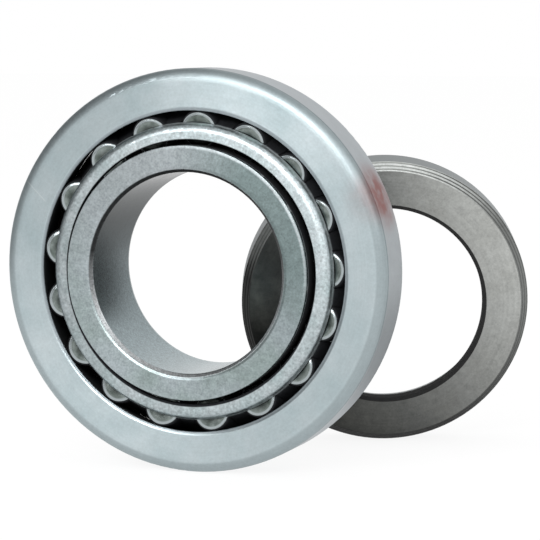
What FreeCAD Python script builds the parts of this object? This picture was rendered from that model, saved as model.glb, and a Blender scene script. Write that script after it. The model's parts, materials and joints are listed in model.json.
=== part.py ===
"""Single-row tapered roller bearing with its loose retaining ring.

Frame: millimetres, +Z up. The bearing stands on its rim with its axis along Y. The origin is on that
axis, in the plane of the outer ring's back face, which is the face towards -Y. Every ring is a section
drawn as (radius, distance along +Y) and turned about the Y axis.
"""
import FreeCAD
import Part

import math
import os

from FreeCAD import Placement, Rotation, Vector

# Boundary dimensions
OUTER_RADIUS = 40.0            # housing seat, 80 mm across
BORE_RADIUS = 19.844           # shaft seat, 39.688 mm (1 9/16 in) across
CUP_WIDTH = 12.5
CONE_FRONT = -3.3              # the inner ring stands proud of the outer ring's back face
CONE_WIDTH = 21.2

# Rolling geometry: the races and every roller share one apex on the axis
CUP_ANGLE = math.radians(14.03)
CONE_ANGLE = math.radians(10.65)
APEX_TO_FACE = 126.6           # from the apex to the origin
ROLLER_COUNT = 17
ROLLER_PHASE = 2.6             # degrees from +X towards +Z to the first roller
ROLLER_START = 130.8           # from the apex to the small end, along the roller's axis
ROLLER_LENGTH = 11.0
ROLLER_ROUND = 0.5             # corners of a roller's ends
RACE_CLEARANCE = 0.06          # between a roller and each race
ROLLER_ANGLE = (CUP_ANGLE + CONE_ANGLE) / 2
ROLLER_TAPER = (CUP_ANGLE - CONE_ANGLE) / 2

# Outer ring
CUP_FRONT_ROUND = 1.9
CUP_REAR_ROUND = 1.6
CUP_LIP_ROUND = 0.2            # both ends of the raceway

# Inner ring
SMALL_RIB_RADIUS = 25.1
SMALL_RIB_END = 1.4
LARGE_RIB_RADIUS = 28.6
RIB_GAP = 0.06                 # between the rollers' large ends and the rib that guides them
RELIEF_DEPTH = 0.35            # grinding relief below the race at both ribs
RELIEF_WIDTH = 0.75
RIB_ROUND = 0.2
REAR_ROUND = 0.4
BORE_CHAMFER_RADIAL = 0.66
BORE_CHAMFER_AXIAL = 0.8
FILLET_CLEARANCE = 2.4         # rear bore radius, clears the fillet of a shaft shoulder

# Cage, pressed from sheet
CAGE_SHEET = 1.2
CAGE_FRONT = -1.05
CAGE_INNER_RADIUS = 26.1
CAGE_CORNER_RADIUS = 28.67     # where the flange's front would meet the wall if the bend were sharp
CAGE_BEND = 1.5                # outside of the bend
CAGE_WALL_ANGLE = math.radians(23.1)  # steeper than the rollers, so the rear rim comes near the cup
CAGE_END = 14.3
CAGE_EDGE_ROUND = 0.2
POCKET_CLEARANCE = 0.15
POCKET_END_CLEARANCE = 0.2

# Retaining ring, loose behind the bearing
RING_RADIUS = 30.25
RING_BORE_RADIUS = 20.6
RING_WIDTH = 10.4
RING_CHAMFER_RADIAL = 1.6      # outside front edge
RING_CHAMFER_AXIAL = 2.2
RING_BORE_CHAMFER_RADIAL = 0.8
RING_BORE_CHAMFER_AXIAL = 0.4
RING_LAND = 2.0                # straight part of the bore behind the front chamfer
RING_REAR_BORE_RADIUS = 22.6   # cone that opens the bore towards the rear
RING_REAR_ROUND = 1.0
RING_EDGE_ROUND = 0.2
RING_CENTRE = Vector(26.15, 45.75, -10.2)
RING_TURN = 19.4               # degrees about +Z
RING_LEAN = 8.0                # degrees, top towards the bearing

ORIGIN = Vector(0, 0, 0)
AXIS = Vector(0, 1, 0)


def rounded(corners):
    """Edges of a closed section. Each corner is (radius, axial, rounding); 0 leaves it sharp."""
    spots = [Vector(radius, axial, 0) for radius, axial, _ in corners]
    arcs = []
    ends = []
    for index, corner in enumerate(corners):
        spot = spots[index]
        before = (spots[index - 1] - spot).normalize()
        after = (spots[(index + 1) % len(spots)] - spot).normalize()
        rounding = corner[2]
        half = before.getAngle(after) / 2
        setback = rounding / math.tan(half)
        arrive = spot + before * setback
        leave = spot + after * setback
        ends.append((arrive, leave))
        if rounding:
            inward = (before + after).normalize()
            middle = spot + inward * (rounding / math.sin(half) - rounding)
            arcs.append(Part.Arc(arrive, middle, leave).toShape())
        else:
            arcs.append(None)
    edges = []
    for index, (arrive, leave) in enumerate(ends):
        if arcs[index]:
            edges.append(arcs[index])
        edges.append(Part.makeLine(leave, ends[(index + 1) % len(ends)][0]))
    return edges


def turned(corners):
    """Turns a closed section about the Y axis into a solid."""
    return Part.Face(Part.Wire(rounded(corners))).revolve(ORIGIN, AXIS, 360)


def cup_race_radius(axial):
    return (APEX_TO_FACE + axial) * math.tan(CUP_ANGLE) + RACE_CLEARANCE


def cone_race_radius(axial):
    return (APEX_TO_FACE + axial) * math.tan(CONE_ANGLE) - RACE_CLEARANCE


def rib_flank(radius, distance):
    """Where a flank square to the rollers' axes, at a distance from the apex, reaches a radius."""
    return distance / math.cos(ROLLER_ANGLE) - radius * math.tan(ROLLER_ANGLE) - APEX_TO_FACE


def outer_ring():
    """The cup: housing seat outside, tapered raceway inside, faces square to the axis."""
    return turned([
        (cup_race_radius(0), 0, CUP_LIP_ROUND),
        (OUTER_RADIUS, 0, CUP_FRONT_ROUND),
        (OUTER_RADIUS, CUP_WIDTH, CUP_REAR_ROUND),
        (cup_race_radius(CUP_WIDTH), CUP_WIDTH, CUP_LIP_ROUND),
    ])


def inner_ring():
    """The cone: bore, small rib, tapered race and the large rib, whose flank guides the rollers."""
    rear = CONE_FRONT + CONE_WIDTH
    guide_distance = ROLLER_START + ROLLER_LENGTH + RIB_GAP
    rib_foot = guide_distance / math.cos(ROLLER_TAPER) * math.cos(CONE_ANGLE) - APEX_TO_FACE
    race_start = SMALL_RIB_END + RELIEF_WIDTH
    race_end = rib_foot - RELIEF_WIDTH
    start_relief = cone_race_radius(race_start) - RELIEF_DEPTH
    end_relief = cone_race_radius(race_end) - RELIEF_DEPTH
    return turned([
        (BORE_RADIUS + BORE_CHAMFER_RADIAL, CONE_FRONT, 0),
        (SMALL_RIB_RADIUS, CONE_FRONT, RIB_ROUND),
        (SMALL_RIB_RADIUS, SMALL_RIB_END, RIB_ROUND),
        (start_relief, SMALL_RIB_END, 0),
        (start_relief, race_start - RELIEF_DEPTH, 0),
        (cone_race_radius(race_start), race_start, 0),
        (cone_race_radius(race_end), race_end, 0),
        (end_relief, race_end + RELIEF_DEPTH, 0),
        (end_relief, rib_flank(end_relief, guide_distance), 0),
        (LARGE_RIB_RADIUS, rib_flank(LARGE_RIB_RADIUS, guide_distance), RIB_ROUND),
        (LARGE_RIB_RADIUS, rear, REAR_ROUND),
        (BORE_RADIUS, rear, FILLET_CLEARANCE),
        (BORE_RADIUS, CONE_FRONT + BORE_CHAMFER_AXIAL, 0),
    ])


def taper_radius(distance):
    return distance * math.tan(ROLLER_TAPER)


def placed_on_roller_axis(shape, number, distance):
    """Moves a shape made along +Y from the origin to a distance from the apex, along a roller's axis."""
    radius = distance * math.sin(ROLLER_ANGLE)
    axial = distance * math.cos(ROLLER_ANGLE) - APEX_TO_FACE
    tilt = Placement(Vector(radius, axial, 0), Rotation(Vector(0, 0, 1), -math.degrees(ROLLER_ANGLE)))
    around = Placement(ORIGIN, Rotation(AXIS, -(ROLLER_PHASE + number * 360 / ROLLER_COUNT)))
    placed = shape.copy()
    placed.Placement = around.multiply(tilt)
    return placed


def roller(number):
    """One tapered roller, with rounded corners at both ends."""
    solid = turned([
        (0, 0, 0),
        (taper_radius(ROLLER_START), 0, ROLLER_ROUND),
        (taper_radius(ROLLER_START + ROLLER_LENGTH), ROLLER_LENGTH, ROLLER_ROUND),
        (0, ROLLER_LENGTH, 0),
    ])
    return placed_on_roller_axis(solid, number, ROLLER_START)


def cage_blank():
    """The cage before its pockets are punched: an inward flange, a bend and a tapered wall."""
    slope = math.tan(CAGE_WALL_ANGLE)
    sheet_across = CAGE_SHEET / math.cos(CAGE_WALL_ANGLE)
    end_radius = CAGE_CORNER_RADIUS + (CAGE_END - CAGE_FRONT) * slope
    inside_radius = CAGE_CORNER_RADIUS + CAGE_SHEET * slope - sheet_across
    return turned([
        (CAGE_INNER_RADIUS, CAGE_FRONT, CAGE_EDGE_ROUND),
        (CAGE_CORNER_RADIUS, CAGE_FRONT, CAGE_BEND),
        (end_radius, CAGE_END, CAGE_EDGE_ROUND),
        (end_radius - sheet_across, CAGE_END, CAGE_EDGE_ROUND),
        (inside_radius, CAGE_FRONT + CAGE_SHEET, CAGE_BEND - CAGE_SHEET),
        (CAGE_INNER_RADIUS, CAGE_FRONT + CAGE_SHEET, CAGE_EDGE_ROUND),
    ])


def pocket(number):
    """The space that one roller needs in the cage: the roller grown on every side."""
    start = ROLLER_START - POCKET_END_CLEARANCE
    length = ROLLER_LENGTH + 2 * POCKET_END_CLEARANCE
    small = taper_radius(start) + POCKET_CLEARANCE
    large = taper_radius(start + length) + POCKET_CLEARANCE
    return placed_on_roller_axis(Part.makeCone(small, large, length, ORIGIN, AXIS), number, start)


def cage():
    """The pressed cage, with a pocket for each roller whose sides wrap round it and keep it in."""
    pockets = [pocket(number) for number in range(ROLLER_COUNT)]
    return cage_blank().cut(pockets)


def retaining_ring():
    """A turned ring that goes on the shaft beside the inner ring, here loose behind the bearing."""
    ring = turned([
        (RING_BORE_RADIUS + RING_BORE_CHAMFER_RADIAL, 0, 0),
        (RING_RADIUS - RING_CHAMFER_RADIAL, 0, RING_EDGE_ROUND),
        (RING_RADIUS, RING_CHAMFER_AXIAL, RING_EDGE_ROUND),
        (RING_RADIUS, RING_WIDTH, RING_REAR_ROUND),
        (RING_REAR_BORE_RADIUS, RING_WIDTH, RING_EDGE_ROUND),
        (RING_BORE_RADIUS, RING_BORE_CHAMFER_AXIAL + RING_LAND, 0),
        (RING_BORE_RADIUS, RING_BORE_CHAMFER_AXIAL, 0),
    ])
    turn = Rotation(Vector(0, 0, 1), RING_TURN)
    lean = Rotation(Vector(1, 0, 0), RING_LEAN)
    ring.Placement = Placement(RING_CENTRE, turn.multiply(lean))
    return ring


def main():
    os.makedirs("parts", exist_ok=True)
    pieces = {
        "outer_ring": outer_ring(),
        "inner_ring": inner_ring(),
        "cage": cage(),
        "retaining_ring": retaining_ring(),
    }
    for number in range(ROLLER_COUNT):
        pieces[f"roller_{number + 1:02d}"] = roller(number)
    for name, shape in pieces.items():
        solids = shape.Solids
        assert len(solids) == 1 and solids[0].isValid(), name
        solids[0].exportStep(f"parts/{name}.step")
        print(name, round(solids[0].Volume), "mm3")


main()
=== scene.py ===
"""Tapered roller bearing with its loose retaining ring: finishes, studio and camera round the CAD model.

Metres, in the CAD frame: the bearing's axis is Y, its back face looks towards -Y, and +Z is up.
"""
import json
import math

import bmesh
import bpy
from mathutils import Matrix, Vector


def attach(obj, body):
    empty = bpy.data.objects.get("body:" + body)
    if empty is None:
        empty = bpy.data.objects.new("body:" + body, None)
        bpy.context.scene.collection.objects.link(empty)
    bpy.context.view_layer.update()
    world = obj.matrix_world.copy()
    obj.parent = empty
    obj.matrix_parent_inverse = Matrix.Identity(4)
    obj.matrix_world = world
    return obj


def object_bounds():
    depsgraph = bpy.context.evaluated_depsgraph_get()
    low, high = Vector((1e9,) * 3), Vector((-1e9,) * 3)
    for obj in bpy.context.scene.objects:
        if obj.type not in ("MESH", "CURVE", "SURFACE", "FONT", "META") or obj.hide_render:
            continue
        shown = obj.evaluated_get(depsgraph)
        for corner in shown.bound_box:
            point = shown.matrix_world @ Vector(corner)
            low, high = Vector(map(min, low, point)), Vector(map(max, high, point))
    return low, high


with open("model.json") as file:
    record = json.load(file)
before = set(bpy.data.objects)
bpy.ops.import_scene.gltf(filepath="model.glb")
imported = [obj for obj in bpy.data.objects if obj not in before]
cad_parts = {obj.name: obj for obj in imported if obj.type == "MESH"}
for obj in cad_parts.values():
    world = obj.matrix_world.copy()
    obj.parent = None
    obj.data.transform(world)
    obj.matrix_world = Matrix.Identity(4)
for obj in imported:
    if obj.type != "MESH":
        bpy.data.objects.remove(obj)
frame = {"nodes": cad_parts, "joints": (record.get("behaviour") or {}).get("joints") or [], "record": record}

CAD_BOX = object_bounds()
MM = 0.001
MICRON = 0.000001

# Camera: a long lens, a little to the right of the bearing's axis and a little above it
CAMERA_TARGET = Vector((0.0136, 0.0082, 0.0001))
CAMERA_AZIMUTH = math.radians(19.356)
CAMERA_ELEVATION = math.radians(5.534)
CAMERA_DISTANCE = 0.495
CAMERA_LENS = 166.67

# Softboxes, both aimed at the middle of the bearing: place, width and height, power in watts
KEY_PLACE = (0.0, -0.85, 0.46)
KEY_SIZE = (0.80, 0.28)
KEY_POWER = 5.8
SIDE_PLACE = (0.75, -0.45, 0.45)
SIDE_SIZE = (0.3, 0.5)
SIDE_POWER = 1.0

# Floor; the shares are how much of it is plain white instead of lit, seen directly and in metal
FLOOR_SIZE = 8.0
FLOOR_TONE = 0.95
FLOOR_ROUGHNESS = 0.9
FLOOR_SHARE_SEEN = 0.88
FLOOR_SHARE_MIRRORED = 0.7

# Outer ring: radii, and distances along the axis from its back face
CUP_FACE_EDGE = 38.1 * MM
CUP_ROUND_END = 1.9 * MM
CUP_RACE_START = 0.2 * MM
CUP_LIP_END = 32.25 * MM
CUP_LIP_DEPTH = 0.18 * MM
CUP_SHOULDER_DEPTH = 0.14 * MM
CUP_RACE_LARGEST = 34.95 * MM
CUP_REAR_FACE = 12.5 * MM
CUP_ANGLE = math.radians(14.03)
APEX_TO_FACE = 126.6 * MM
RUST_PLACE = (36.9 * MM, 6.0 * MM, 15.6 * MM)
RUST_CORE = 2.0 * MM
RUST_REACH = 9.0 * MM
SCRATCH_MIDDLE = (-33.2 * MM, 0.0, 15.2 * MM)
SCRATCH_ACROSS = (math.sqrt(0.5), 0.0, math.sqrt(0.5))
SCRATCH_LINE = -12.71 * MM
SCRATCH_WIDTH = 0.14 * MM
SCRATCH_HALF_LENGTH = 2.9 * MM

# Inner ring
CONE_FACE = -3.3 * MM
CONE_BORE = 19.844 * MM
CONE_SHADE_START = -2.3 * MM
CONE_BEVEL_END = 20.45 * MM
CONE_BEVEL_DEEP = -2.5 * MM
CONE_ROUNDING_DEPTH = 0.22 * MM
SMALL_RIB = 25.1 * MM
RACE_END = 12.2 * MM

# Cage
CAGE_HOLE = 26.1 * MM
CAGE_FRONT = -1.05 * MM
CAGE_CORNER_RADIUS = 28.67 * MM
CAGE_WALL_ANGLE = math.radians(23.1)
CAGE_BARS = 0.5 * MM
CAGE_RIM = 12.6 * MM

# Rollers, from a roller's own middle and axis
ROLLER_HALF_LENGTH = 5.5 * MM
ROLLER_FLAT = 3.36 * MM
ROLLER_DOME_DEPTH = 0.18 * MM

# Retaining ring, from the middle of its bore's straight part, and ways across it along which its painted
# light and shade change
RING_FACE_EDGE = 28.65 * MM
RING_CHAMFER_END = 0.8 * MM
RING_FACE_BORE = 21.4 * MM
RING_REAR_FACE = 8.9 * MM
RING_LINE_PITCH = 0.75 * MM
RING_PALE_WAY = (0.87, 0.24, 0.42)
RING_LIT_WAY = (-0.4, 0.0, 0.9)
RING_SHADE_WAY = (0.6, 0.0, 0.8)

# Dark bead between cage and outer ring, a piece put in the gap as painted shade
BEAD_FRONT = 11.5 * MM
BEAD_MIDDLE = 11.9 * MM
BEAD_BACK = 12.3 * MM
BEAD_OVERLAP = 0.05 * MM
BEAD_CLEARANCE = 0.02 * MM
BEAD_HOLLOW = 0.15 * MM
BEAD_STEPS = 192

# Half widths of the change from one finish to the next
CRISP = 0.05 * MM
FIRM = 0.1 * MM
SOFT = 0.3 * MM

# Colours
# Near-black of an oil film, also painted shade in the recesses inside the bearing
OIL_AND_SHADE_DARK = (0.012, 0.013, 0.015)
CUP_DARKER = (0.38, 0.46, 0.48)
CUP_PALER = (0.48, 0.54, 0.56)
CUP_CORNER = (0.32, 0.37, 0.385)
CUP_SEAT = (0.39, 0.42, 0.44)
CUP_CORNER_END = (0.17, 0.21, 0.22)
CUP_LIP = (0.24, 0.27, 0.29)
CUP_RACE = (0.020, 0.022, 0.024)
RUST = (0.21, 0.055, 0.045)
SCRATCH = (0.62, 0.66, 0.66)
CONE_DARKER = (0.27, 0.325, 0.32)
CONE_PALER = (0.35, 0.395, 0.415)
CONE_TOP = (0.35, 0.385, 0.40)
CONE_UPPER_RIGHT = (0.185, 0.235, 0.235)
CONE_BORE_STEEL = (0.36, 0.45, 0.475)
CONE_BEVEL = (0.92, 0.96, 0.98)
CONE_EDGE = (0.58, 0.64, 0.66)
CAGE_DARKER = (0.42, 0.50, 0.51)
CAGE_PALER = (0.56, 0.61, 0.63)
ROLLER_DARKER = (0.08, 0.10, 0.09)
ROLLER_PALER = (0.26, 0.295, 0.285)
# Painted highlight on the roller ends' edges
ROLLER_EDGE_HIGHLIGHT = (0.36, 0.40, 0.41)
RING_DARKEST = (0.020, 0.021, 0.020)
RING_PALEST = (0.43, 0.44, 0.425)
RING_CLOUDS = (0.22, 0.22, 0.20)
RING_OUTSIDE = (0.21, 0.23, 0.235)
RING_REAR = (0.36, 0.37, 0.36)
RING_CORNER = (0.12, 0.125, 0.12)
# Painted highlight on the ring's corner and ridges
RING_CORNER_LIT = (0.48, 0.50, 0.48)
RING_RIDGES = (0.90, 0.93, 0.91)
RING_HOLE = (0.02, 0.02, 0.02)
BEAD_DARKER = (0.010, 0.008, 0.006)
BEAD_LESS_DARK = (0.022, 0.018, 0.013)

# Shader settings that the finishes share
OIL_ROUGHNESS = 0.85
SPECULAR = 0.15
NOISE_ROUGHNESS = 0.55
SEED_STEP = 7.3
COLOUR_A = 6
COLOUR_B = 7
COLOUR_RESULT = 2


class Tree:
    """Short calls for a node tree. Each adds nodes and returns the socket that carries the result."""

    def __init__(self, tree):
        self.nodes = tree.nodes
        self.links = tree.links

    def feed(self, socket, value):
        """Links a socket to another one, or sets it to a number, colour or vector."""
        if isinstance(value, bpy.types.NodeSocket):
            self.links.new(value, socket)
        elif socket.type == "RGBA":
            socket.default_value = (*value, 1.0)
        else:
            socket.default_value = value

    def calc(self, operation, *values):
        node = self.nodes.new("ShaderNodeMath")
        node.operation = operation
        for socket, value in zip(node.inputs, values):
            self.feed(socket, value)
        return node.outputs[0]

    def remap(self, value, low, high, to_low=0.0, to_high=1.0, smooth=False):
        node = self.nodes.new("ShaderNodeMapRange")
        node.interpolation_type = "SMOOTHSTEP" if smooth else "LINEAR"
        for socket, number in zip(node.inputs, (value, low, high, to_low, to_high)):
            self.feed(socket, number)
        return node.outputs[0]


class Finish(Tree):
    """One piece's material, in cylinder coordinates about the piece's own axis."""

    def __init__(self, name, centre=(0, 0, 0), axis=(0, 1, 0), seed=0):
        self.material = bpy.data.materials.new(name)
        self.material.use_nodes = True
        super().__init__(self.material.node_tree)
        self.shader = self.nodes["Principled BSDF"]
        self.shader.inputs["Specular IOR Level"].default_value = SPECULAR
        self.seed = seed
        self.place(Vector(centre), Vector(axis).normalized())

    def dot(self, vector, direction):
        node = self.nodes.new("ShaderNodeVectorMath")
        node.operation = "DOT_PRODUCT"
        self.feed(node.inputs[0], vector)
        self.feed(node.inputs[1], direction)
        return node.outputs["Value"]

    def distance(self, point):
        """How far the surface is from a point."""
        node = self.nodes.new("ShaderNodeVectorMath")
        node.operation = "DISTANCE"
        self.feed(node.inputs[0], self.position)
        self.feed(node.inputs[1], point)
        return node.outputs["Value"]

    def vector(self, x, y, z):
        node = self.nodes.new("ShaderNodeCombineXYZ")
        for socket, value in zip(node.inputs, (x, y, z)):
            self.feed(socket, value)
        return node.outputs[0]

    def place(self, centre, axis):
        """Cylinder coordinates about a line: how far along it, how far out, and which way round.

        About the Y axis, round_x is 1 at the right, and round_y is 1 at the bottom and -1 at the top.
        """
        side = axis.cross(Vector((0, 0, 1))).normalized()
        other = axis.cross(side)
        coordinates = self.nodes.new("ShaderNodeTexCoord").outputs["Object"]
        shift = self.nodes.new("ShaderNodeVectorMath")
        shift.operation = "SUBTRACT"
        self.feed(shift.inputs[0], coordinates)
        self.feed(shift.inputs[1], centre)
        self.position = shift.outputs[0]
        self.along = self.dot(self.position, axis)
        across = self.dot(self.position, side)
        down = self.dot(self.position, other)
        squares = self.calc(
            "ADD", self.calc("MULTIPLY", across, across), self.calc("MULTIPLY", down, down)
        )
        self.radius = self.calc("SQRT", squares)
        self.round_x = self.calc("DIVIDE", across, self.radius)
        self.round_y = self.calc("DIVIDE", down, self.radius)

    def above(self, value, edge, soft):
        """0 below the edge, 1 above it."""
        return self.remap(value, edge - soft, edge + soft, smooth=True)

    def below(self, value, edge, soft):
        """1 below the edge, 0 above it."""
        return self.remap(value, edge - soft, edge + soft, 1.0, 0.0, smooth=True)

    def between(self, value, low, high, soft):
        return self.both(self.above(value, low, soft), self.below(value, high, soft))

    def both(self, first, second):
        """Where two fields hold together; also one field times a number."""
        return self.calc("MULTIPLY", first, second)

    def near(self, value, centre, width):
        """1 at the centre, falling to 0 a width away."""
        gap = self.calc("ABSOLUTE", self.calc("SUBTRACT", value, centre))
        return self.remap(gap, 0.0, width, 1.0, 0.0, smooth=True)

    def mix(self, factor, first, second):
        """Mixes two colours."""
        node = self.nodes.new("ShaderNodeMix")
        node.data_type = "RGBA"
        self.feed(node.inputs["Factor"], factor)
        self.feed(node.inputs[COLOUR_A], first)
        self.feed(node.inputs[COLOUR_B], second)
        return node.outputs[COLOUR_RESULT]

    def tint(self, colour, strength):
        """Multiplies a colour by a number."""
        node = self.nodes.new("ShaderNodeVectorMath")
        node.operation = "SCALE"
        self.feed(node.inputs[0], colour)
        self.feed(node.inputs["Scale"], strength)
        return node.outputs[0]

    def noise(self, vector, scale=1.0, detail=2.0):
        """Noise from 0 to 1; each call has a seed of its own."""
        self.seed += 1
        node = self.nodes.new("ShaderNodeTexNoise")
        node.noise_dimensions = "4D"
        self.feed(node.inputs["Vector"], vector)
        self.feed(node.inputs["W"], SEED_STEP * self.seed)
        self.feed(node.inputs["Scale"], scale)
        self.feed(node.inputs["Detail"], detail)
        self.feed(node.inputs["Roughness"], NOISE_ROUGHNESS)
        return node.outputs[0]

    def grain(self, size, detail=3.0):
        """Even speckle of one size."""
        return self.noise(self.position, 1.0 / size, detail)

    def lines_round(self, width, wander=3.0):
        """Lines that run round the axis, as turning and grinding leave them."""
        return self.noise(self.vector(
            self.calc("DIVIDE", self.radius, width),
            self.calc("DIVIDE", self.along, width),
            self.calc("MULTIPLY", self.round_x, wander),
        ))

    def lines_across(self, width, radius):
        """Lines that run out from the axis on a face and along it on a cylinder."""
        count = radius / width
        reach = 0.05 / width
        outwards = self.calc("ADD", self.radius, self.along)
        return self.noise(self.vector(
            self.calc("MULTIPLY", self.round_x, count),
            self.calc("MULTIPLY", self.round_y, count),
            self.calc("MULTIPLY", outwards, reach),
        ))

    def ripple(self, value, pitch):
        """Even ridges, from 0 to 1."""
        wave = self.calc("SINE", self.calc("MULTIPLY", value, 2 * math.pi / pitch))
        return self.remap(wave, -1.0, 1.0)

    def total(self, *terms):
        """Adds fields, given as (field, size). Each is moved down by 0.5, so noise is centred on zero."""
        result = 0.0
        for field, size in terms:
            result = self.calc("MULTIPLY_ADD", self.calc("SUBTRACT", field, 0.5), size, result)
        return result

    def vary(self, level, *terms):
        """A level with fields added to it, as total takes them."""
        return self.calc("ADD", level, self.total(*terms))

    def lower(self, height, where, depth):
        """Takes a depth off the height where a field is 1."""
        return self.calc("SUBTRACT", height, self.calc("MULTIPLY", where, depth))

    def anisotropic(self, amount):
        """Stretches highlights across marks that run round the Y axis."""
        tangent = self.nodes.new("ShaderNodeTangent")
        tangent.direction_type = "RADIAL"
        tangent.axis = "Y"
        self.links.new(tangent.outputs[0], self.shader.inputs["Tangent"])
        self.shader.inputs["Anisotropic"].default_value = amount
        self.shader.inputs["Anisotropic Rotation"].default_value = 0.25

    def finish(self, colour, roughness, height, oil_and_shade=None):
        """Wires up the shader. Height is in metres.

        Metal passes a field that is 1 where a film of oil dulls it, and where the callers paint the colour
        near-black as shade. Without it, nothing is metal.
        """
        bump = self.nodes.new("ShaderNodeBump")
        bump.inputs["Distance"].default_value = 1.0
        self.feed(bump.inputs["Height"], height)
        self.feed(self.shader.inputs["Base Color"], colour)
        if oil_and_shade:
            self.feed(self.shader.inputs["Metallic"], self.calc("SUBTRACT", 1.0, oil_and_shade))
            roughness = self.calc("MAXIMUM", roughness, self.calc("MULTIPLY", oil_and_shade, OIL_ROUGHNESS))
        self.feed(self.shader.inputs["Roughness"], roughness)
        self.links.new(bump.outputs[0], self.shader.inputs["Normal"])
        return self.material


def outer_ring_steel():
    """Satin-ground face, a smooth corner and outside, a race that is oiled and painted near-black as shade,
    and a faint bloom of rust; the lip and the corner's end are painted darker as shade.
    """
    f = Finish("outer_ring_steel", seed=100)
    f.anisotropic(0.6)
    blotches = f.grain(11 * MM)
    patches = f.grain(3 * MM)
    speckle = f.grain(0.4 * MM, 4.0)
    turning = f.lines_round(0.35 * MM)

    front = f.below(f.along, CUP_ROUND_END, SOFT)
    corner = f.both(f.above(f.radius, CUP_FACE_EDGE, SOFT), front)
    shoulder = f.both(f.above(f.radius, CUP_FACE_EDGE + 0.2 * MM, 1.0 * MM), front)
    seat = f.above(f.along, CUP_ROUND_END, SOFT)
    inside = f.below(f.radius, CUP_RACE_LARGEST, CRISP)
    race = f.both(inside, f.between(f.along, CUP_RACE_START, CUP_REAR_FACE, CRISP))
    lip = f.both(f.below(f.radius, CUP_LIP_END, SOFT), f.below(f.along, CUP_RACE_START, CRISP))
    bloom = f.remap(f.distance(RUST_PLACE), RUST_CORE, RUST_REACH, 1.0, 0.0, smooth=True)
    bloom = f.both(bloom, f.remap(patches, 0.10, 0.55))
    scratch = f.near(f.dot(f.position, SCRATCH_ACROSS), SCRATCH_LINE, SCRATCH_WIDTH)
    scratch = f.both(scratch, f.below(f.distance(SCRATCH_MIDDLE), SCRATCH_HALF_LENGTH, 0.4 * MM))

    colour = f.mix(f.remap(blotches, 0.3, 0.7), CUP_DARKER, CUP_PALER)
    colour = f.mix(f.both(corner, 0.8), colour, CUP_CORNER)
    colour = f.mix(seat, colour, CUP_SEAT)
    # Painted shade: a dark line where the rounded corner meets the seat
    colour = f.mix(f.both(corner, f.near(f.along, CUP_ROUND_END, 0.5 * MM)), colour, CUP_CORNER_END)
    # Painted shade: the lip is darkened all round
    colour = f.mix(f.both(lip, 0.8), colour, CUP_LIP)
    # Painted shade: the race under its oil film is near-black
    colour = f.mix(race, colour, CUP_RACE)
    colour = f.mix(f.both(bloom, 0.95), colour, RUST)
    colour = f.mix(f.both(scratch, 0.6), colour, SCRATCH)
    colour = f.tint(colour, f.vary(1.0, (speckle, 0.30), (patches, 0.16), (turning, 0.14)))

    roughness = f.vary(0.34, (blotches, 0.10), (speckle, 0.12))
    roughness = f.calc("MULTIPLY_ADD", corner, 0.07, roughness)
    height = f.total((speckle, 2.5 * MICRON), (turning, 1.2 * MICRON))
    height = f.lower(height, lip, CUP_LIP_DEPTH)
    height = f.lower(height, shoulder, CUP_SHOULDER_DEPTH)
    return f.finish(colour, roughness, height, race)


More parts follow.
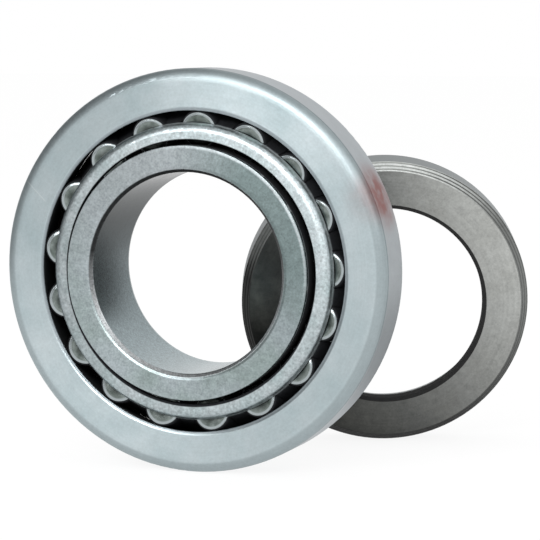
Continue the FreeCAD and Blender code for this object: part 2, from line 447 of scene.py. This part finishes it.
def inner_ring_steel():
    """Mottled grey face with faint grinding marks, a polished bore, and ribs and race oiled and painted
    near-black as shade; face, bore and bevel carry painted light and shade by direction.
    """
    f = Finish("inner_ring_steel", seed=200)
    f.anisotropic(0.3)
    clouds = f.grain(9 * MM)
    mottle = f.grain(1.2 * MM, 5.0)
    speckle = f.grain(0.36 * MM, 5.0)
    turning = f.lines_round(0.3 * MM)
    marks = f.lines_across(0.4 * MM, SMALL_RIB)

    face = f.below(f.along, CONE_FACE + CRISP, CRISP)
    bore = f.below(f.radius, CONE_BORE + FIRM, CRISP)
    bevel = f.both(
        f.below(f.radius, CONE_BEVEL_END, 0.15 * MM), f.below(f.along, CONE_BEVEL_DEEP, FIRM)
    )
    # Painted shade: the rib and race are oiled and near-black behind the cage's front, where its shadow
    # falls
    raceway = f.both(
        f.above(f.radius, SMALL_RIB - 2.0 * MM, FIRM), f.below(f.along, RACE_END, 0.4 * MM)
    )
    raceway = f.both(raceway, f.above(f.along, CONE_SHADE_START, 0.5 * MM))
    rib = f.both(
        f.above(f.radius, SMALL_RIB - FIRM, CRISP), f.below(f.along, CONE_SHADE_START, 0.5 * MM)
    )
    upper_right = f.total((f.round_x, 0.85), (f.round_y, -0.5))
    # Painted highlight: a pale band along the face's outer edge at the upper right
    edge = f.both(face, f.near(f.radius, SMALL_RIB - 0.35 * MM, 0.45 * MM))
    edge = f.both(edge, f.remap(upper_right, 0.0, 0.5))
    edge = f.both(edge, f.remap(f.round_y, -0.5, 0.3, 1.0, 0.0))
    rounding = f.both(face, f.below(f.radius, CONE_BEVEL_END + 0.3 * MM, 0.35 * MM))

    colour = f.mix(f.remap(clouds, 0.35, 0.65), CONE_DARKER, CONE_PALER)
    # Painted light: towards the top the face is held at a steady pale grey
    colour = f.mix(f.remap(f.round_y, -0.9, 0.2), CONE_TOP, colour)
    # Painted shade: the face is darker towards the upper right
    colour = f.mix(f.both(face, f.remap(upper_right, 0.2, 0.7)), colour, CONE_UPPER_RIGHT)
    # Painted shade and light: the bore is darker at the top and paler at the bottom
    bore_colour = f.tint(CONE_BORE_STEEL, f.remap(f.round_y, -0.5, 1.0, 0.22, 1.25))
    colour = f.mix(bore, colour, bore_colour)
    # Painted highlight: the bevel at the bore's edge is near-white at the bottom and dark at the top
    bevel_colour = f.tint(CONE_BEVEL, f.remap(f.round_y, -0.2, 0.5, 0.06, 1.0))
    colour = f.mix(bevel, colour, bevel_colour)
    colour = f.mix(edge, colour, CONE_EDGE)
    colour = f.mix(raceway, colour, OIL_AND_SHADE_DARK)
    mottled_face = f.both(face, mottle)
    colour = f.tint(colour, f.vary(
        1.0, (speckle, 1.05), (mottled_face, 0.60), (f.both(face, marks), 0.18), (turning, 0.08)
    ))

    polished = f.remap(f.calc("MAXIMUM", bore, rib), 0.0, 1.0, 0.38, 0.20)
    roughness = f.vary(polished, (clouds, 0.08), (speckle, 0.08))
    height = f.total((speckle, 2.5 * MICRON), (mottled_face, 5 * MICRON), (turning, 0.6 * MICRON))
    height = f.lower(height, rounding, CONE_ROUNDING_DEPTH)
    return f.finish(colour, roughness, height, raceway)


def cage_steel():
    """Pressed and tumbled sheet: pale, matt and grainy outside, with painted light and shade by direction;
    oiled and painted near-black as shade between the rollers and round the hole, widest at its bottom.
    """
    f = Finish("cage_steel", seed=300)
    blotches = f.grain(5 * MM)
    speckle = f.grain(0.44 * MM, 5.0)
    pits = f.grain(0.9 * MM, 4.0)

    # Painted shade: between the rollers and round the hole, widest at the bottom, the sheet is oiled and
    # near-black
    bars = f.both(f.above(f.along, CAGE_BARS, 0.5 * MM), f.below(f.along, CAGE_RIM, 0.5 * MM))
    shade_reach = f.remap(f.round_y, 0.1, 1.0, 0.0, 0.4 * MM)
    hole = f.below(f.calc("SUBTRACT", f.radius, shade_reach), CAGE_HOLE + 0.15 * MM, FIRM)
    oil_and_shade = f.calc("MAXIMUM", bars, hole)
    upper_left = f.calc("MULTIPLY_ADD", f.round_x, -0.95, f.calc("MULTIPLY", f.round_y, -0.3))

    colour = f.mix(f.remap(blotches, 0.3, 0.7), CAGE_DARKER, CAGE_PALER)
    # Painted light and shade: paler at the top, darker at the bottom
    colour = f.mix(f.remap(f.round_y, -0.8, 0.6), f.tint(colour, 1.1), f.tint(colour, 0.82))
    # Painted shade: darker towards the upper left
    colour = f.tint(colour, f.remap(upper_left, 0.3, 1.0, 1.0, 0.68))
    colour = f.mix(oil_and_shade, colour, OIL_AND_SHADE_DARK)
    colour = f.tint(colour, f.vary(1.0, (speckle, 1.45), (pits, 0.60)))

    roughness = f.vary(0.40, (speckle, 0.15), (blotches, 0.1))
    height = f.total((speckle, 6 * MICRON), (pits, 10 * MICRON))
    return f.finish(colour, roughness, height, oil_and_shade)


def roller_steel(name, centre, axis, seed):
    """Barrel and corner oiled and painted near-black as shade, and a ground end with painted shade towards
    its middle and a painted highlight towards its edge.
    """
    f = Finish(name, centre, axis, seed)
    speckle = f.grain(0.3 * MM)
    turning = f.lines_round(0.2 * MM, 1.0)
    smudge = f.grain(1.6 * MM)

    end = f.above(f.calc("ABSOLUTE", f.along), ROLLER_HALF_LENGTH - 0.02 * MM, 0.01 * MM)
    # Painted highlight: a paler band on the end towards its edge
    edge_highlight = f.both(end, f.above(f.radius, ROLLER_FLAT - 0.35 * MM, 0.15 * MM))
    # Painted shade: the end darkens towards its middle
    middle = f.remap(f.radius, 1.2 * MM, ROLLER_FLAT - 0.6 * MM, 0.25, 1.0, smooth=True)
    dome = f.remap(f.radius, ROLLER_FLAT - 0.9 * MM, ROLLER_FLAT)

    end_colour = f.mix(f.remap(smudge, 0.30, 0.70), ROLLER_DARKER, ROLLER_PALER)
    # Painted shade: barrel and corner are oiled and near-black
    colour = f.mix(end, OIL_AND_SHADE_DARK, f.tint(end_colour, middle))
    colour = f.mix(edge_highlight, colour, ROLLER_EDGE_HIGHLIGHT)
    colour = f.tint(colour, f.vary(1.0, (speckle, 0.2), (turning, 0.25)))

    roughness = f.vary(0.20, (smudge, 0.12), (speckle, 0.08))
    height = f.total((turning, 1.2 * MICRON), (speckle, 0.8 * MICRON))
    height = f.lower(height, f.both(dome, dome), ROLLER_DOME_DEPTH)
    return f.finish(colour, roughness, height, f.calc("SUBTRACT", 1.0, end))


def retaining_ring_steel(centre, axis):
    """Dull grey steel: mottled face with painted shade to the left, ridges turned in its corner with painted
    highlights, painted light and shade on that corner, and a bore painted near-black as shade.
    """
    f = Finish("retaining_ring_steel", centre, axis, 400)
    clouds = f.grain(7 * MM)
    blotches = f.grain(1.2 * MM, 6.0)
    speckle = f.grain(0.35 * MM, 5.0)
    turning = f.lines_round(0.4 * MM)

    ridges = f.remap(f.ripple(f.along, RING_LINE_PITCH), 0.10, 0.60)
    chamfer = f.both(
        f.above(f.radius, RING_FACE_EDGE, FIRM), f.below(f.along, RING_CHAMFER_END, FIRM)
    )
    ridged = f.both(chamfer, ridges)
    hole = f.below(f.radius, RING_FACE_BORE, CRISP)
    # Painted shade: the face darkens towards the lower left, behind the bearing
    shade_slope = f.remap(f.dot(f.position, RING_PALE_WAY), -25 * MM, 28 * MM)
    shade_slope = f.both(shade_slope, f.remap(shade_slope, 0.0, 1.0, 0.5, 1.0))
    # Painted highlight and shade: the corner and its ridges are paler towards the upper left and darker
    # towards the lower left
    lit_side = f.dot(f.position, RING_LIT_WAY)
    lit = f.remap(lit_side, 6 * MM, 25 * MM, 0.12, 1.0)
    shining = f.remap(lit_side, 18 * MM, 27 * MM)
    shade = f.remap(f.dot(f.position, RING_SHADE_WAY), -12 * MM, 12 * MM, 0.08, 1.0)

    colour = f.mix(shade_slope, RING_DARKEST, RING_PALEST)
    colour = f.mix(f.both(f.remap(clouds, 0.4, 0.7), 0.25), colour, RING_CLOUDS)
    colour = f.mix(f.above(f.along, RING_CHAMFER_END, FIRM), colour, RING_OUTSIDE)
    colour = f.mix(f.above(f.along, RING_REAR_FACE, CRISP), colour, RING_REAR)
    colour = f.mix(chamfer, colour, f.mix(shining, f.tint(RING_CORNER, shade), RING_CORNER_LIT))
    colour = f.mix(f.both(ridged, lit), colour, f.tint(RING_RIDGES, shade))
    # Painted shade: the bore is near-black
    colour = f.mix(hole, colour, RING_HOLE)
    colour = f.tint(colour, f.vary(1.0, (blotches, 0.60), (speckle, 0.60), (turning, 0.25)))

    roughness = f.vary(0.42, (blotches, 0.2), (speckle, 0.1))
    height = f.total((blotches, 5 * MICRON), (speckle, 4 * MICRON), (ridged, 40 * MICRON))
    return f.finish(colour, roughness, height, hole)


def bead_shade_finish():
    """Near-black finish of the bead put in the gap as painted shade, with faint streaks round the axis."""
    f = Finish("bead_shade_finish", seed=500)
    streaks = f.lines_round(0.5 * MM)
    smears = f.grain(4 * MM)
    colour = f.mix(f.remap(smears, 0.3, 0.7), BEAD_DARKER, BEAD_LESS_DARK)
    roughness = f.remap(streaks, 0.2, 0.8, OIL_ROUGHNESS - 0.05, OIL_ROUGHNESS + 0.05)
    return f.finish(colour, roughness, f.total((streaks, 3 * MICRON)))


def cage_radius(along):
    """The radius of the cage's outer surface at a distance along the axis."""
    return CAGE_CORNER_RADIUS + math.tan(CAGE_WALL_ANGLE) * (along - CAGE_FRONT)


def cup_race_radius(along):
    return math.tan(CUP_ANGLE) * (APEX_TO_FACE + along)


def bead_outline():
    """The bead's cross-section, as (radius, along): flat on the cage, hollow towards the outer ring."""
    corners = []
    for along in (BEAD_FRONT, BEAD_MIDDLE, BEAD_BACK):
        corners.append((cage_radius(along) - BEAD_OVERLAP, along))
    for along in (BEAD_BACK, BEAD_BACK - BEAD_HOLLOW, BEAD_FRONT + BEAD_HOLLOW, BEAD_FRONT):
        corners.append((cup_race_radius(along) - BEAD_CLEARANCE, along))
    return corners


def add_bead_of_shade():
    """A dark bead that closes the narrow gap between cage and outer ring behind the rollers, put there as
    painted shade.
    """
    corners = bead_outline()
    mesh = bpy.data.meshes.new("gap_shade_bead")
    shape = bmesh.new()
    rows = []
    for step in range(BEAD_STEPS):
        turn = 2 * math.pi * step / BEAD_STEPS
        row = []
        for radius, along in corners:
            row.append(shape.verts.new((radius * math.cos(turn), along, radius * math.sin(turn))))
        rows.append(row)
    for row, following in zip(rows, rows[1:] + rows[:1]):
        for number in range(len(corners)):
            after = (number + 1) % len(corners)
            shape.faces.new((row[number], row[after], following[after], following[number]))
    bmesh.ops.recalc_face_normals(shape, faces=shape.faces)
    shape.to_mesh(mesh)
    shape.free()
    for polygon in mesh.polygons:
        polygon.use_smooth = True
    mesh.materials.append(bead_shade_finish())
    bead = bpy.data.objects.new("gap_shade_bead", mesh)
    bpy.context.scene.collection.objects.link(bead)
    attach(bead, "cage")


def paint(node, material):
    frame["nodes"][node].material_slots[0].material = material


def finish_pieces():
    paint("outer_ring", outer_ring_steel())
    paint("inner_ring", inner_ring_steel())
    paint("cage", cage_steel())
    joints = {joint["child"]: joint for joint in frame["joints"]}
    rollers = sorted(node for node in frame["nodes"] if node.startswith("roller"))
    for number, node in enumerate(rollers):
        joint = joints[node]
        seed = 1000 + 10 * number
        paint(node, roller_steel(f"{node}_steel", joint["pos_m"], joint["axis"], seed))
    mounts = {mount["name"]: mount for mount in frame["record"]["mounts"]}
    bore = mounts["retaining_ring_bore"]
    paint("retaining_ring", retaining_ring_steel(bore["pos_m"], bore["axis"]))


class Stage(Tree):
    """Node calls for the floor and the world."""

    def ramp(self, value, low, high, to_low, to_high):
        return self.remap(value, low, high, to_low, to_high, smooth=True)

    def parts(self, vector):
        """A vector's X, Y and Z sockets."""
        node = self.nodes.new("ShaderNodeSeparateXYZ")
        self.links.new(vector, node.inputs[0])
        return node.outputs

    def length(self, parts):
        """How far a point is from the origin, along the floor."""
        squares = [self.calc("MULTIPLY", parts[name], parts[name]) for name in "XY"]
        return self.calc("SQRT", self.calc("ADD", *squares))

    def less(self, amount, where):
        """1 less an amount, where a field is 1."""
        return self.calc("SUBTRACT", 1.0, self.calc("MULTIPLY", amount, where))

    def grey(self, value):
        node = self.nodes.new("ShaderNodeCombineColor")
        for socket in node.inputs:
            self.links.new(value, socket)
        return node.outputs[0]


def floor_white():
    """Pale, and mostly plain white where it is seen directly. In metal it is darker left and behind, as
    painted shade.
    """
    material = bpy.data.materials.new("floor_white")
    material.use_nodes = True
    stage = Stage(material.node_tree)
    shader = stage.nodes["Principled BSDF"]
    shader.inputs["Roughness"].default_value = FLOOR_ROUGHNESS
    shader.inputs["Specular IOR Level"].default_value = 0.0
    glow = stage.nodes.new("ShaderNodeEmission")
    path = stage.nodes.new("ShaderNodeLightPath")
    mirrored = path.outputs["Is Glossy Ray"]
    seen = stage.calc("MAXIMUM", path.outputs["Is Camera Ray"], path.outputs["Is Transmission Ray"])

    place = stage.parts(stage.nodes.new("ShaderNodeTexCoord").outputs["Object"])
    # Painted shade seen only in metal: darker on the far left and near the object behind it
    left = stage.ramp(place["X"], -0.60, -0.25, 0.35, 1.0)
    far = stage.ramp(stage.length(place), 0.06, 0.32, 0.6, 1.0)
    front = stage.ramp(place["Y"], 0.02, 0.09, 1.0, 0.0)
    shade = stage.less(left, stage.calc("MAXIMUM", far, front))
    tone = stage.less(mirrored, shade)
    stage.links.new(tone, glow.inputs["Strength"])
    stage.links.new(stage.grey(stage.calc("MULTIPLY", tone, FLOOR_TONE)), shader.inputs["Base Color"])

    share_seen = stage.calc("MULTIPLY", seen, FLOOR_SHARE_SEEN)
    share_mirrored = stage.calc("MULTIPLY", mirrored, FLOOR_SHARE_MIRRORED)
    mix = stage.nodes.new("ShaderNodeMixShader")
    stage.links.new(stage.calc("MAXIMUM", share_seen, share_mirrored), mix.inputs[0])
    stage.links.new(shader.outputs[0], mix.inputs[1])
    stage.links.new(glow.outputs[0], mix.inputs[2])
    stage.links.new(mix.outputs[0], stage.nodes["Material Output"].inputs[0])
    return material


def add_floor():
    """A plain floor at the height of the object's lowest point."""
    bpy.ops.mesh.primitive_plane_add(size=FLOOR_SIZE, location=(0, 0, CAD_BOX[0][2]))
    floor = bpy.context.object
    floor.name = "floor"
    floor.data.materials.append(floor_white())


def add_world():
    """White, but in metal it falls to grey overhead and on the left, and stays pale behind."""
    world = bpy.data.worlds.new("studio")
    bpy.context.scene.world = world
    world.use_nodes = True
    stage = Stage(world.node_tree)
    place = stage.parts(stage.nodes.new("ShaderNodeTexCoord").outputs["Generated"])
    overhead = stage.ramp(place["X"], -0.8, 0.4, 0.22, 0.80)
    overhead = stage.calc("MAXIMUM", overhead, stage.ramp(place["Y"], 0.3, 0.8, 0.0, 0.95))
    horizon = stage.ramp(place["X"], -0.95, -0.55, 0.45, 1.0)
    tone = stage.ramp(place["Z"], 0.03, 0.38, horizon, overhead)
    mirrored = stage.nodes.new("ShaderNodeLightPath").outputs["Is Glossy Ray"]
    strength = stage.less(stage.calc("SUBTRACT", 1.0, tone), mirrored)
    background = stage.nodes["Background"]
    stage.links.new(strength, background.inputs["Strength"])
    background.inputs["Color"].default_value = (1.0, 1.0, 1.0, 1.0)


def add_softbox(name, place, size, watts):
    light = bpy.data.lights.new(name, "AREA")
    light.shape = "RECTANGLE"
    light.size, light.size_y = size
    light.energy = watts
    lamp = bpy.data.objects.new(name, light)
    bpy.context.scene.collection.objects.link(lamp)
    lamp.location = place
    lamp.rotation_euler = (-Vector(place)).to_track_quat("-Z", "Y").to_euler()


def add_lights():
    add_softbox("key", KEY_PLACE, KEY_SIZE, KEY_POWER)
    add_softbox("side", SIDE_PLACE, SIDE_SIZE, SIDE_POWER)


def add_camera():
    forward = Vector((
        -math.sin(CAMERA_AZIMUTH) * math.cos(CAMERA_ELEVATION),
        math.cos(CAMERA_AZIMUTH) * math.cos(CAMERA_ELEVATION),
        -math.sin(CAMERA_ELEVATION),
    ))
    data = bpy.data.cameras.new("camera")
    data.lens = CAMERA_LENS
    camera = bpy.data.objects.new("camera", data)
    bpy.context.scene.collection.objects.link(camera)
    camera.location = CAMERA_TARGET - CAMERA_DISTANCE * forward
    camera.rotation_euler = forward.to_track_quat("-Z", "Y").to_euler()
    bpy.context.scene.camera = camera


add_camera()
finish_pieces()
add_bead_of_shade()
add_floor()
add_world()
add_lights()
bpy.context.scene.view_settings.view_transform = "Standard"
